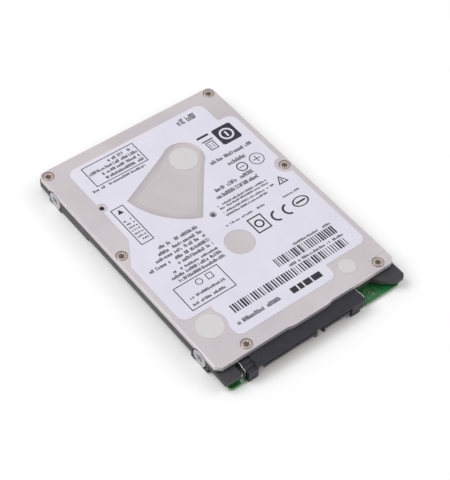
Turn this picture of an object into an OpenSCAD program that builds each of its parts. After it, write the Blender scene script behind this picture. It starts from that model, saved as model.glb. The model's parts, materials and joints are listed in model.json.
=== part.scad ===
// 2.5 inch hard disk drive with one disk, 7 mm high, with a serial data and power plug.
// Frame: origin at the bottom centre of the drive. X runs across it, Y along it with the
// plug at -Y, and Z up through the cover. All sizes are in millimetres.

/* [Overall size] */
// Width across the casting
drive_w = 69.85; // [69.85:0.05:90]
// Length from the plug's front to the far wall
drive_l = 100.2; // [100.2:0.1:130]
// Height from the mounting plane to the label's face
drive_h = 7; // [6.6:0.1:9.5]

/* [Mounting holes] */
// Distance of the first pair of holes from the plug end
mount_from_end = 14; // [13:0.1:16]
// Distance between the two holes of one side
mount_pitch = 76.6; // [70:0.1:80]
// Distance across the drive between the bottom holes
mount_bottom_pitch = 61.72; // [61.72:0.01:62]
// Height of the side holes above the mounting plane
mount_side_z = 3; // [2.8:0.05:3.2]
// Radius of the tapped M3 holes
mount_r = 1.25; // [1.2:0.01:1.3]
// Depth of the side holes
mount_side_depth = 2.5; // [2:0.1:2.5]
// Depth of the bottom holes
mount_bottom_depth = 3; // [2:0.1:3]
// Radius of the machined pad round a side hole
mount_pad_r = 3; // [2:0.1:3.2]

/* [Cover] */
// Thickness of the cover sheet
cover_t = 0.5; // [0.4:0.05:0.6]
// Height of the cover's turned-down edge
cover_edge_h = 1.8; // [1.2:0.05:2]
// Distance of the cover's near edge from the plug end
cover_setback = 5.25; // [5:0.05:6]
// How far the near edge bulges out round the disk
cover_bulge = 0.55; // [0.3:0.05:0.6]
// Outside corner radius of the cover
cover_corner_r = 2; // [1:0.1:3]
// Compressed thickness of the cover gasket
gasket_t = 0.38; // [0.2:0.02:0.5]
// Width of the gasket
gasket_w = 0.95; // [0.6:0.05:1]
// Depth of the fan-shaped recess over the arm
fan_depth = 0.15; // [0.1:0.01:0.2]

/* [Label and seals] */
// Thickness of the label
label_t = 0.12; // [0.08:0.01:0.2]
// Distance of the label's edges from the drive's sides
label_margin = 2; // [1.5:0.1:3]
// Thickness of the foil seals
foil_t = 0.1; // [0.05:0.01:0.12]
// Radius of the seal over the servo port
port_seal_r = 4.45; // [4:0.05:5]
// Radius of the seal over the leak test port
test_seal_r = 2.8; // [2.4:0.05:3.2]

/* [Disk and motor] */
// Disk diameter
platter_d = 65; // [50:0.5:65]
// Disk thickness
platter_t = 0.7; // [0.5:0.05:0.9]
// Diameter of the disk's hole
platter_bore_d = 20; // [20:0.1:22]
// Distance of the motor axis from the plug end
spindle_from_end = 39.5; // [38.6:0.1:44]
// Sideways place of the motor axis
spindle_x = 0.3; // [0:0.05:0.5]
// Gap between the disk's edge and the shroud wall
shroud_gap = 0.5; // [0.4:0.05:0.6]
// Radius of the motor shaft
shaft_r = 1.5; // [1.3:0.05:1.7]
// Outside radius of the bearing sleeve
sleeve_r = 2.6; // [2.5:0.05:2.8]
// Outside radius of the hub's skirt
skirt_r = 11.1; // [10.8:0.05:11.4]
// Number of stator poles
poles = 9; // [6,9,12]

/* [Arm and heads] */
// Place of the pivot from the motor axis, across the drive
pivot_dx = 7.1; // [6.5:0.1:8]
// Place of the pivot from the motor axis, along the drive
pivot_dy = 38.7; // [38.2:0.1:40]
// Distance of the heads from the pivot
head_reach = 34; // [33:0.1:34.5]
// Radius from the motor axis at which the heads are parked
park_r = 34.7; // [34:0.05:35.2]
// Outside radius of the arm's barrel
barrel_r = 5.2; // [4.9:0.05:5.4]
// Radius of the pivot shaft
pivot_r = 1.6; // [1.5:0.05:1.6]
// Thickness of one arm
arm_t = 0.45; // [0.3:0.05:0.5]

/* [Circuit board] */
// Board thickness
board_t = 0.8; // [0.6:0.05:0.8]
// Height of the board above the mounting plane
board_lift = 0.35; // [0.32:0.01:0.4]
// Distance of the board's edge from the plug end
board_setback = 0.5; // [0.3:0.05:1]

/* [Plug] */
// Sideways place of the plug's centre
plug_x = -4.8; // [-5:0.1:-4.6]
// Height of the tongue's centre above the mounting plane
tongue_z = 3.5; // [3.4:0.05:3.6]
// Thickness of the tongue
tongue_t = 1.23; // [1.1:0.01:1.3]

/* [Hidden] */
$fn = 64;
cut = 0.5;   // how far a cutting shape runs past the face that it opens

// Plan of the drive
side_x = drive_w / 2;
near_y = -drive_l / 2;
far_y = drive_l / 2;
cover_near_y = near_y + cover_setback;
cover_far_y = far_y - 0.15;
wall_gap = 0.1;                                // cover edge to casting wall
bulge_half_w = [6.5, 9];                       // bulge at its crest and at its foot

// Heights
cover_top = drive_h - label_t;
cover_under = cover_top - cover_t;
wall_top = cover_under - gasket_t;
cover_edge_z = cover_top - cover_edge_h;
strip_top = cover_edge_z - 0.05;
head_seat = cover_top - 0.58;                  // seat of a screw head in the cover
pad_top = head_seat - cover_t;                 // casting under that seat
board_top = board_lift + board_t;
chip_room = 1.15;                              // board to casting
film_inset = 0.85;                             // board's edge to the insulating film's edge
pocket_z = board_top + chip_room;
floor_t = 0.5;
floor_z = pocket_z + floor_t;
relief_z = 1.0;                                // underside of the far half
disk_z = floor_z + 1.5;                        // middle of the disk

// Motor and pivot
spindle = [spindle_x, near_y + spindle_from_end];
platter_r = platter_d / 2;
shroud_r = platter_r + shroud_gap;
pivot = spindle + [pivot_dx, pivot_dy];
run_gap = 0.02;                                // radial clearance of a running fit
well_gap = 0.5;                                // turning skirt to the well
well_wall = 1.0;
well_r = skirt_r + well_gap;
well_bottom = 0.5;
well_floor = 1.0;
boss_r = 3.5;                                  // post that carries the stator
boss_top = 2.9;

// Arm directions, seen from the pivot
pivot_reach = norm([pivot_dx, pivot_dy]);
to_spindle_a = 180 + atan2(pivot_dy, pivot_dx);
function turn_at(r) = acos((head_reach * head_reach + pivot_reach * pivot_reach - r * r)
    / (2 * head_reach * pivot_reach));
arm_a = to_spindle_a - turn_at(park_r);        // parked arm
coil_a = arm_a - 180;                          // parked coil
arm_travel = 35.5;                             // ramp to the innermost track

// Head stack heights, measured from the middle of the disk
fly_gap = 0.02;
slider = [1.25, 1.0, 0.23];
beam_t = 0.08;
plate_t = 0.1;
beam_h = platter_t / 2 + fly_gap + slider[2];
arm_h = beam_h + plate_t;
barrel_h = arm_h + arm_t;
tab_h = beam_h + 0.03;
arm_l = 23.5;
plate_l = 20.5;
beam_l = 24;
beam_end = 35;
tab_l = 38.3;

// Voice coil motor, measured from the pivot and the middle of the disk
coil_r = [10.8, 17.9];
coil_hole_r = [12.8, 15.9];
coil_half_a = 19;
coil_hole_half_a = 9;
coil_h = 0.35;
frame_r = [9.4, 18.6];
frame_half_a = 21.5;
frame_h = 0.45;
frame_gap = 0.05;
magnet_r = [10.3, 17.6];
magnet_h = 0.6;
magnet_t = 0.35;
yoke_r = [9.4, 18.4];
yoke_top_t = 0.55;
post_a = [coil_a - 31.7, coil_a + arm_travel + 31.8];
post_ring_r = 15;
post_r = 1.1;
stop_r = 1.5;
stop_hole_gap = 0.05;

// Crash latch: a hook that swings into the path of the coil frame's catch
latch_p = pivot + 21.3 * [cos(25.8), sin(25.8)];
latch_l = 4.65;
latch_tip_r = 0.5;
latch_rest_a = -75.4;
latch_hub_r = 1.1;
latch_pin_r = 0.5;
catch_a = -13.6;                               // catch, from the coil's middle
catch_half_a = 1.4;
catch_r = 19.7;

// Ramp, by angle from the parked arm and distance from the pivot
ramp_r = [35.3, 38.6];
ramp_post_r = [38.8, 40.2];
ramp_a = [-5, 7.5];
ramp_post_a = [-5, 1];
ramp_ear_a = -12;
ramp_gap = 0.03;                               // lift tab to the ramp
ramp_slot_gap = 0.1;                           // disk to the ramp

// Cover screws: the four corners by the far and middle walls, then the near pair
screw_inset = 2.35;
mid_screw_y = spindle[1] + 17.2;
cover_screw_at = [[-side_x + screw_inset, far_y - 2.6], [side_x - screw_inset, far_y - 2.6],
    [-side_x + screw_inset, mid_screw_y], [side_x - screw_inset, mid_screw_y],
    [-side_x + 12.7, near_y + 7.8], [side_x - 4.95, near_y + 7.9]];
near_screw = cover_screw_at[5];
screw_r = 1.0;
screw_l = 3.2;
screw_head_r = 1.8;
screw_head_h = 0.52;
screw_sink_r = 2.0;
pan_r = 2.5;
thread_gap = 0.02;

// Ports, seals and filters
port_at = spindle + (shroud_r + 1.1) * [cos(216.53), sin(216.53)];
port_pocket_r = 2.8;
test_at = spindle + (shroud_r + 1.2) * [cos(307.16), sin(307.16)];
test_pocket_r = 1.8;
filter_dir = [0.8, -0.6];
filter_at = spindle + (platter_r + 2.4) * filter_dir;
filter_pocket_r = 2.9;
breather_at = pivot + [-33.9, -2];
small_hole_at = spindle + [0.1, 13.8];
centre_pad_r = 4.9;
fan_r = [7, 26];
fan_a = [189.5, 246.8];
pivot_seal_r = 4.9;

// Mounting hole rows
mount_ys = [near_y + mount_from_end, near_y + mount_from_end + mount_pitch];

// Board
board_edge_x = side_x - 1.37;
board_edge_y = near_y + board_setback;
rail_x = mount_bottom_pitch / 2 - 3.1;         // inner face of the rails
board_gap = 0.35;                              // board to the casting
board_x = rail_x - board_gap;
board_neck_y = mount_ys[0] - 4.2;
board_far_y = spindle[1] + 18.6;
tongue_far_y = pivot[1] - 2.1;                 // board's stretch to the head connector
tongue_near_x = 13;
motor_hole_r = well_r + well_wall + 0.6;
board_screw_at = [[-board_x + 2.6, board_far_y - 3], [board_x - 2.6, tongue_far_y - 3],
    [-board_x + 2.6, board_neck_y + 2.8], [board_x - 2.6, board_neck_y + 2.8]];
board_screw_r = 0.8;
board_boss_r = 2.2;
chip_z = board_top;

// Plug
power_w = 20.57;
signal_w = 10.41;
tongue_gap = 2.41;
power_x0 = plug_x - (power_w + tongue_gap + signal_w) / 2;
signal_x0 = power_x0 + power_w + tongue_gap;
signal_x1 = signal_x0 + signal_w;
guide_gap = [2.1, 1.1];                        // tongue to the guides
plug_x0 = power_x0 - guide_gap[0] - 3.6;
plug_x1 = signal_x1 + guide_gap[1] + 5.1;
plug_back_y = cover_near_y - 0.1;
plug_wall_y = plug_back_y - 2;
tongue_top = tongue_z + tongue_t / 2;
tongue_under = tongue_z - tongue_t / 2;
roof_z = [4.75, 5.2];
contact_pitch = 1.27;
contact_w = 0.84;
contact_t = 0.08;
hook_w = 0.9;                                  // key hooks beside the gap

// ---------------------------------------------------------------- shared shapes

module disc(r, z0, z1) translate([0, 0, z0]) cylinder(h = z1 - z0, r = r);

module ring(ro, ri, z0, z1) difference() {
    disc(ro, z0, z1);
    disc(ri, z0 - cut, z1 + cut);
}

module slab(z0, z1) translate([0, 0, z0]) linear_extrude(z1 - z0) children();

module box2(x0, x1, y0, y1) translate([x0, y0]) square([x1 - x0, y1 - y0]);

module block(x, y, z) translate([x[0], y[0], z[0]]) cube([x[1] - x[0], y[1] - y[0], z[1] - z[0]]);

// A rectangle with round corners
module round_box2(x0, x1, y0, y1, r) {
    box2(x0 + r, x1 - r, y0, y1);
    box2(x0, x1, y0 + r, y1 - r);
    for (x = [x0 + r, x1 - r], y = [y0 + r, y1 - r]) translate([x, y]) circle(r);
}

// A piece of a ring about the origin, less than half a turn
module sector(r, a0, a1) {
    far = 2 * r[1];
    mid = (a0 + a1) / 2;
    intersection() {
        difference() {
            circle(r[1]);
            circle(r[0]);
        }
        polygon([[0, 0], far * [cos(a0), sin(a0)], far * [cos(mid), sin(mid)],
            far * [cos(a1), sin(a1)]]);
    }
}

module at(p) translate([p[0], p[1], 0]) children();

// The moving frame of the parked arm: +X runs from the pivot to the heads
module on_arm() at(pivot) rotate([0, 0, arm_a]) children();

// Both sides of the disk: the upper half as drawn, and its mirror image
module both_sides() {
    children();
    translate([0, 0, 2 * disk_z]) mirror([0, 0, 1]) children();
}

// The six-lobed socket of a screw head
module lobed_socket(r) {
    circle(0.78 * r);
    for (i = [0 : 5]) rotate(60 * i) translate([0.72 * r, 0]) circle(0.28 * r);
}

// A screw with its head's underside at z
module screw(z, shank_r, shank_l, head_r, head_h) {
    difference() {
        union() {
            disc(head_r, z, z + head_h);
            disc(shank_r, z - shank_l, z);
        }
        slab(z + 0.35 * head_h, z + head_h + cut) lobed_socket(0.55 * head_r);
    }
}

// A chip: a flat body with a round mark at one corner
module chip(p, w, l, h) at(p) difference() {
    block([-w / 2, w / 2], [-l / 2, l / 2], [chip_z, chip_z + h]);
    translate([-w / 2 + 1, -l / 2 + 1, 0]) disc(0.3, chip_z + h - 0.05, chip_z + h + cut);
}

// ---------------------------------------------------------------- casting and cover

// Sealed space for the disk, the arm and the coil, grown outwards by g
module cavity_2d(g) {
    at(spindle) circle(shroud_r + g);
    round_box2(-side_x + 3.75 - g, side_x - 3.75 + g, spindle[1] + 19.2 - g, mount_ys[1] - 4.3 + g, 4);
    round_box2(-mount_bottom_pitch / 2 + 2.6 - g, mount_bottom_pitch / 2 - 2.6 + g,
        pivot[1] - 5, far_y - 3.2 + g, 2);
    at(port_at) circle(port_pocket_r + g);
    at(test_at) circle(test_pocket_r + g);
    at(filter_at) circle(filter_pocket_r + g);
    at(pivot) sector([1, tab_l + 0.7 + g], arm_a + ramp_a[0], arm_a + arm_travel + 2);
}

// Bulge of the near edge: a low trapezium in front of y
module bulge_2d(y) translate([spindle_x, y]) polygon([[-bulge_half_w[1], 1],
    [-bulge_half_w[1], 0], [-bulge_half_w[0], -cover_bulge], [bulge_half_w[0], -cover_bulge],
    [bulge_half_w[1], 0], [bulge_half_w[1], 1]]);

// Plan of the cover, inset by g
module cover_2d(g) {
    corner = 1.7 + 0.4 * g;
    difference() {
        union() {
            round_box2(-side_x + g, side_x - g, cover_near_y + g, cover_far_y - g,
                cover_corner_r - g);
            bulge_2d(cover_near_y + g);
        }
        for (s = [-1, 1]) translate([s * (side_x - g), cover_near_y + g])
            polygon([[0.1 * s, -0.1], [0.1 * s, corner], [0, corner], [-s * corner, 0],
                [-s * corner, -0.1]]);
    }
}

// Board outline grown by g
module board_2d(g) {
    difference() {
        union() {
            round_box2(-board_edge_x - g, board_edge_x + g, board_edge_y - g, board_neck_y + g, 1.3);
            box2(-board_x - g, board_x + g, board_neck_y - 3, board_far_y + g);
            box2(tongue_near_x - g, board_x + g, board_far_y - 1, tongue_far_y + g);
        }
        at(spindle) circle(motor_hole_r - g);
        box2(plug_x0 - 0.4 + g, plug_x1 + 0.9 - g, board_edge_y - 2, plug_back_y - 0.1 - g);
    }
}

// Fan-shaped field over the arm's swing: a round end on the pivot and a long arc
function fan_edge(s) = s < 0 ? fan_a[0] : fan_a[1];
module fan_2d(g) at(pivot) {
    lean = acos(fan_r[0] / fan_r[1]);
    r = fan_r + [g, g];
    root = 0.96 * r[0];
    foot = [for (s = [-1, 1]) root * [cos(fan_edge(s) + s * lean), sin(fan_edge(s) + s * lean)]];
    end = [for (s = [-1, 1]) r[1] * [cos(fan_edge(s)), sin(fan_edge(s))]];
    circle(r[0]);
    intersection() {
        circle(r[1]);
        polygon([foot[0], 1.3 * end[0] - 0.3 * foot[0], 1.3 * end[1] - 0.3 * foot[1], foot[1]]);
    }
}

// Ears of the casting beside the plug
module ear_2d(s) {
    if (s < 0) round_box2(-side_x, plug_x0 - 1.6, near_y + 1.2, cover_near_y + 4, 0.6);
    else polygon([[side_x - 9.6, cover_near_y + 4], [side_x - 9.6, cover_near_y + 0.3],
        [side_x - 7.4, near_y + 2.8], [side_x - 3.4, near_y], [side_x - 1, near_y],
        [side_x, near_y + 1.1], [side_x, cover_near_y + 4]]);
}

// Slope that takes the lower outside edge away, from y0 to y1
module edge_slope(s, y0, y1, w, h) translate([s * side_x, y1, 0]) rotate([90, 0, 0])
    linear_extrude(y1 - y0) polygon([[s, -1], [s, h], [0, h], [-s * w, 0], [-s * w, -1]]);

module base_casting() color([0.13, 0.13, 0.14]) difference() {
    union() {
        difference() {
            union() {
                slab(0, strip_top) round_box2(-side_x, side_x, cover_near_y + 0.3, far_y, 1.5);
                slab(pocket_z, wall_top) cover_2d(cover_t + wall_gap);
                for (s = [-1, 1]) slab(pocket_z + 0.3, strip_top - 0.65) ear_2d(s);
                for (s = [-1, 1], y = mount_ys) translate([s * (side_x - 4), y, mount_side_z])
                    rotate([0, s * 90, 0]) cylinder(h = 4, r = mount_pad_r - 0.02);
            }
            slab(floor_z, drive_h) cavity_2d(0);
            slab(-cut, pocket_z) board_2d(board_gap);
            at(spindle) disc(motor_hole_r, -cut, pocket_z);
            slab(-cut, pocket_z) box2(-side_x - 1, side_x + 1, near_y - 1, board_neck_y - 2.4);
            slab(-cut, pocket_z + 0.6) for (s = [-1, 1])
                translate([s * (side_x - 1), cover_near_y]) box2(-1.4, 1.4, -6, 4.6);
            slab(-cut, relief_z) {
                round_box2(-rail_x, rail_x, pivot[1] + 1.6, far_y - 2.6, 1.5);
                round_box2(-rail_x, tongue_near_x - 2, board_far_y + 2, far_y - 2.6, 1.5);
            }
            for (s = [-1, 1]) {
                edge_slope(s, mount_ys[0] + 4, mount_ys[1] - 18, 1.03, 1.9);
                edge_slope(s, mount_ys[1] - 18.1, mount_ys[1] - 3.3, 0.5, 1);
                edge_slope(s, mount_ys[1] + 3.3, far_y + 1, 1.2, 2.4);
            }
            slab(-20, -0.001) box2(-side_x - 5, side_x + 5, near_y, far_y + 5);
        }
        at(spindle) disc(well_r + well_wall, well_bottom, floor_z);
        for (p = board_screw_at) at(p) disc(board_boss_r, board_top, pocket_z);
        at(pivot) disc(3, relief_z, floor_z);
    }
    at(spindle) {
        ring(well_r, boss_r, well_floor, boss_top + cut);
        disc(boss_r + 0.1, boss_top, floor_z + 2);
        disc(sleeve_r, well_bottom - cut, boss_top + cut);
    }
    for (p = cover_screw_at) at(p) {
        disc(pan_r + 0.05, pad_top, wall_top + cut);
        disc(screw_r, head_seat - screw_l - 0.4, pad_top + cut);
    }
    for (p = board_screw_at) at(p) disc(board_screw_r, board_top - cut, floor_z - 0.3);
    at(pivot) disc(1.2, relief_z + 0.4, floor_z + cut);
    at(yoke_screw_at()) disc(0.8, relief_z + 0.4, floor_z + cut);
    at(ramp_screw_at()) disc(0.8, relief_z + 0.4, floor_z + cut);
    at(bracket_screw_at()) disc(0.8, pocket_z - cut, floor_z + cut);
    slab(pocket_z - cut, floor_z + cut) head_slot_2d(0.1);
    at(spindle) slab(well_bottom - 0.01, well_floor + 0.01)
        box2(6, 8, -1.6, 1.6);
    for (s = [-1, 1], y = mount_ys) {
        translate([s * (side_x - mount_side_depth), y, mount_side_z]) rotate([0, s * 90, 0])
            cylinder(h = mount_side_depth + cut, r = mount_r);
        translate([s * (side_x - 0.6), y, mount_side_z]) rotate([0, s * 90, 0])
            ring(mount_pad_r + 0.4, mount_pad_r, 0, 1);
        translate([s * mount_bottom_pitch / 2, y, -cut])
            cylinder(h = mount_bottom_depth + cut, r = mount_r);
    }
}

module top_cover() color([0.79, 0.77, 0.78]) difference() {
    union() {
        difference() {
            slab(cover_edge_z, cover_top) cover_2d(0);
            slab(cover_edge_z - cut, cover_under) cover_2d(cover_t);
        }
        intersection() {
            slab(cover_edge_z, cover_top) cover_2d(0);
            union() {
                for (p = cover_screw_at) at(p) disc(pan_r, pad_top, cover_under + 0.1);
                at(pivot) disc(3.1, pad_top, cover_under + 0.1);
            }
        }
        at(spindle) disc(centre_pad_r, cover_top - 0.1, cover_top + 0.08);
    }
    for (p = cover_screw_at) at(p) {
        disc(screw_sink_r, head_seat, drive_h + cut);
        disc(screw_r + 0.1, pad_top - cut, head_seat + cut);
    }
    at(pivot) {
        disc(2.6, head_seat, drive_h);
        disc(1.1, pad_top - cut, head_seat + cut);
    }
    slab(cover_top - fan_depth, drive_h) fan_2d(0);
    slab(cover_top - 0.2, drive_h) translate(near_screw)
        polygon([[8, 2], [-2.6, 2], [-5, -2.7], [-5, -5], [8, -5]]);
    at(breather_at) disc(0.85, cover_under - cut, drive_h);
    at(port_at) disc(2.4, cover_under - cut, drive_h);
    at(test_at) disc(0.9, cover_under - cut, drive_h);
    at(test_at + [-2.4, 2.15]) disc(0.4, cover_top - 0.15, drive_h);
    at(small_hole_at) disc(1.1, cover_top - 0.25, drive_h);
    for (s = [-1, 1], y = mount_ys) translate([s * (side_x - 2), y, mount_side_z])
        rotate([0, s * 90, 0]) cylinder(h = 4, r = mount_pad_r + 0.4);
}

module cover_gasket() color([0.12, 0.12, 0.12]) slab(wall_top, cover_under) difference() {
    intersection() {
        cavity_2d(0.15 + gasket_w);
        cover_2d(cover_t + 0.01);
    }
    cavity_2d(0.15);
    for (p = cover_screw_at) at(p) circle(pan_r + 0.1);
}

module cover_screws() color([0.72, 0.64, 0.58])
    for (p = cover_screw_at) at(p)
        screw(head_seat, screw_r - thread_gap, screw_l, screw_head_r, screw_head_h);

// ---------------------------------------------------------------- label and seals

module label_2d() {
    edge_x = side_x - label_margin;
    top_x = side_x - 7.8;
    step = [-edge_x, spindle[1] + 11.6];       // where the left edge turns inwards
    slant = [edge_x - top_x, 9.6];
    difference() {
        union() {
            round_box2(-top_x, top_x, spindle[1] - 5, far_y - 4.9, 3);
            round_box2(4, edge_x, near_y + 16.5, pivot[1] + 7, 3);
            difference() {
                round_box2(-edge_x, 6, near_y + 24.9, spindle[1] + 26.2, 3);
                polygon([step - slant, step + 1.4 * slant, step + [1.4 * slant[0], 30],
                    step + [-slant[0], 30]]);
            }
            round_box2(-edge_x + 10.4, edge_x - 17, near_y + 11.1, near_y + 30, 2.5);
        }
        fan_2d(0.15);
        at(port_at) circle(port_seal_r + 1.2);
        at(test_at) circle(test_seal_r + 0.6);
        at(cover_screw_at[3]) circle(3.4);
        at(breather_at) circle(1.9);
        at(spindle) circle(centre_pad_r + 0.1);
        at(small_hole_at) circle(1.25);
    }
}

module product_label() color([0.88, 0.87, 0.92]) slab(cover_top, drive_h) label_2d();

module foil_seals() color([0.83, 0.83, 0.82]) {
    at(pivot) disc(pivot_seal_r, cover_top - fan_depth, cover_top - fan_depth + foil_t);
    at(port_at) disc(port_seal_r, cover_top, cover_top + foil_t);
    at(test_at) disc(test_seal_r, cover_top, cover_top + foil_t);
}

// ---------------------------------------------------------------- circuit board

module circuit_board() color([0.05, 0.35, 0.15]) difference() {
    slab(board_lift, board_top) board_2d(0);
    for (p = board_screw_at) at(p) disc(board_screw_r + 0.15, 0, board_top + cut);
}

module board_screws() color([0.7, 0.7, 0.7]) for (p = board_screw_at) at(p)
    translate([0, 0, 2 * board_lift]) mirror([0, 0, 1])
        screw(board_lift, board_screw_r - thread_gap, board_t + 1.3, 1.7, board_lift - 0.05);

module board_insulator() color([0.1, 0.1, 0.11]) slab(pocket_z - 0.15, pocket_z) difference() {
    board_2d(-film_inset);
    box2(-side_x, side_x, near_y, board_neck_y - 1);
    for (p = board_screw_at) at(p) square(2 * board_boss_r + 1.6, center = true);
    head_slot_2d(0.4);
    at(spindle) box2(0, 18.2, -2.2, 2.2);
}

module controller_chip() color([0.1, 0.1, 0.1])
    chip([spindle_x - 1, board_neck_y + 6.6], 12, 11, 0.9);

module motor_driver_chip() color([0.12, 0.12, 0.12])
    chip([board_x - 6.4, spindle[1] + 9.5], 7, 7, 0.85);

module memory_chip() color([0.09, 0.09, 0.1])
    chip([-board_x + 8.4, board_neck_y + 10], 8, 9, 0.9);

module flash_chip() color([0.11, 0.11, 0.11])
    chip([-board_x + 5, spindle[1] + 3], 5, 4, 0.8);

module crystal() color([0.75, 0.75, 0.72]) translate([spindle_x + 9.5, board_neck_y + 5, 0]) {
    block([-1.6, 1.6], [-1.25, 1.25], [chip_z, chip_z + 0.45]);
    block([-1.4, 1.4], [-1.05, 1.05], [chip_z + 0.45, chip_z + 0.7]);
}

// Small parts in rows: capacitors by the chips and two coils of the power supply
module passive_components() color([0.55, 0.42, 0.3]) {
    for (i = [0 : 5]) translate([-9 + 2.4 * i, board_neck_y - 0.6, 0])
        block([-0.5, 0.5], [-0.3, 0.3], [chip_z, chip_z + 0.55]);
    for (i = [0 : 4]) translate([board_x - 3.4, board_neck_y + 7 + 1.9 * i, 0])
        block([-0.6, 0.6], [-0.35, 0.35], [chip_z, chip_z + 0.6]);
    for (i = [0 : 4]) translate([-board_x + 2, spindle[1] - 8 + 1.8 * i, 0])
        block([-0.5, 0.5], [-0.3, 0.3], [chip_z, chip_z + 0.5]);
    for (i = [0, 1]) translate([board_x - 8.5, board_neck_y + 5 + 5 * i, 0])
        block([-2, 2], [-2, 2], [chip_z, chip_z + 0.95]);
}

module shock_sensors() color([0.8, 0.78, 0.7])
    for (p = [[-board_x + 3.2, spindle[1] - 13], [board_x - 3, spindle[1] + 20]]) at(p)
        block([-1.1, 1.1], [-0.6, 0.6], [chip_z, chip_z + 0.8]);

// Gold test points on the bare corner of the board
test_point_at = [[0, 0], [0, -0.9], [1.4, -0.2], [1.4, -0.9], [1.3, -1.5], [3.2, -0.1], [3.3, -1.4],
    [2, -2.8], [4.4, -0.7], [4.7, -1.9], [5.6, -1.9], [4.6, -2.9], [5.5, -2.9], [3.8, 0.9]];
module test_points() color([0.85, 0.68, 0.3]) for (p = test_point_at)
    at([side_x - 13, near_y + 5.1] + p) disc(0.28, board_top, board_top + 0.03);

// Flat cable of the motor: out under the well, through the floor and to the board
module motor_flex() color([0.75, 0.5, 0.15]) at(spindle) {
    x_out = well_r + well_wall;
    block([6.2, x_out + 0.15], [-1.3, 1.3], [well_bottom - 0.12, well_bottom]);
    block([6.2, 6.32], [-1.3, 1.3], [well_bottom, well_floor + 0.2]);
    block([x_out + 0.03, x_out + 0.15], [-1.3, 1.3], [well_bottom, pocket_z - 0.17]);
    block([x_out + 0.15, x_out + 4.2], [-1.3, 1.3], [pocket_z - 0.29, pocket_z - 0.17]);
}

module motor_contacts() color([0.8, 0.66, 0.35]) at(spindle) for (i = [-1.5 : 1 : 1.5])
    translate([well_r + well_wall + 2.6, 0.62 * i, 0])
        block([-1.1, 1.1], [-0.2, 0.2], [chip_z, pocket_z - 0.29]);

// ---------------------------------------------------------------- plug

module key_hook(x0, x1) block([x0, x1], [near_y, plug_wall_y + 0.5], [tongue_z - 1.8, tongue_under + 0.1]);

module sata_plug() color([0.15, 0.15, 0.19]) {
    guide_l = power_x0 - guide_gap[0];
    guide_r = signal_x1 + guide_gap[1];
    difference() {
        union() {
            block([plug_x0 + 3.5, plug_x1], [near_y, plug_back_y], roof_z);
            block([plug_x0, plug_x1], [plug_wall_y, plug_back_y - 0.5], [tongue_under, roof_z[0] + 0.1]);
            block([power_x0, power_x0 + power_w], [near_y, plug_wall_y + 0.2], [tongue_under, tongue_top]);
            block([signal_x0, signal_x1], [near_y, plug_wall_y + 0.2], [tongue_under, tongue_top]);
            key_hook(power_x0 + power_w - hook_w, power_x0 + power_w);
            key_hook(signal_x0, signal_x0 + hook_w);
            block([plug_x0, guide_l], [near_y, plug_back_y - 0.5], [0.3, 4.3]);
            block([guide_r, guide_r + 3.4], [near_y, plug_back_y - 0.5], [0.3, roof_z[0] + 0.1]);
            block([guide_r + 3.3, plug_x1], [near_y + 0.4, plug_back_y - 0.5], [0.9, roof_z[0] + 0.1]);
            block([plug_x0, plug_x0 + 3.6], [near_y + 1.6, plug_back_y], [4.2, 4.6]);
        }
        slab(strip_top, drive_h) translate([0, -0.1]) cover_2d(0);
    }
}

// One contact: a blade under the tongue, a drop behind the plug and a tail on the board
module contact(x) translate([x - contact_w / 2, 0, 0]) rotate([90, 0, 90])
    linear_extrude(contact_w) polygon([[near_y + 0.5, tongue_under - contact_t],
        [plug_back_y - 0.3, tongue_under - contact_t], [plug_back_y - 0.3, board_top],
        [plug_back_y + 1.5, board_top], [plug_back_y + 1.5, board_top + contact_t],
        [plug_back_y - 0.22, board_top + contact_t], [plug_back_y - 0.22, tongue_under],
        [near_y + 0.5, tongue_under]]);

module contact_row(x0, w, count) for (i = [0 : count - 1])
    contact(x0 + w / 2 + contact_pitch * (i - (count - 1) / 2));

module power_contacts() color([0.85, 0.7, 0.35]) contact_row(power_x0, power_w, 15);

module signal_contacts() color([0.85, 0.7, 0.35]) contact_row(signal_x0, signal_w, 7);

// Metal plates at the plug's ends, with a jog half way and a foot on the board
module hold_down(s) translate([s < 0 ? plug_x0 : plug_x1, 0, 0]) {
    gap = 0.06;
    t = 0.24;
    plate_z = [board_top, 4.9];
    y0 = near_y + 1.4;
    y1 = plug_back_y + 0.2;
    ym = (y0 + y1) / 2;
    slab(plate_z[0], plate_z[1]) polygon([[s * gap, y1], [s * gap, ym + 0.6],
        [s * (gap + 0.26), ym - 0.6], [s * (gap + 0.26), y0], [s * (gap + 0.26 + t), y0],
        [s * (gap + 0.26 + t), ym - 0.6], [s * (gap + t), ym + 0.6], [s * (gap + t), y1]]);
    slab(board_top, board_top + 0.2) polygon([[s * (gap + t), y0 + 2], [s * (gap + t), y0 + 3.4],
        [s * 1.5, y0 + 3.4], [s * 1.5, y0 + 0.9], [s * 0.5, y0 + 0.9]]);
}

module plug_hold_downs() color([0.9, 0.9, 0.9]) for (s = [-1, 1]) hold_down(s);

// ---------------------------------------------------------------- spindle motor

module bearing_sleeve() color([0.75, 0.6, 0.35]) at(spindle) {
    ring(sleeve_r, shaft_r + run_gap, well_bottom + 0.35, boss_top + 0.7);
    ring(sleeve_r, 2.1, well_bottom, well_bottom + 0.35);
}

module thrust_plate() color([0.6, 0.6, 0.62]) at(spindle)
    disc(2.1, well_bottom, well_bottom + 0.35);

hub_under = boss_top + 0.85;                    // underside of the hub above the sleeve
hub_seat = disk_z - platter_t / 2;              // face that the disk rests on
hub_nose = disk_z + 0.6;

module spindle_shaft() color([0.8, 0.8, 0.82]) at(spindle) difference() {
    disc(shaft_r, well_bottom + 0.39, hub_nose);
    disc(0.8, hub_nose - 1.9, hub_nose + cut);
}

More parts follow.
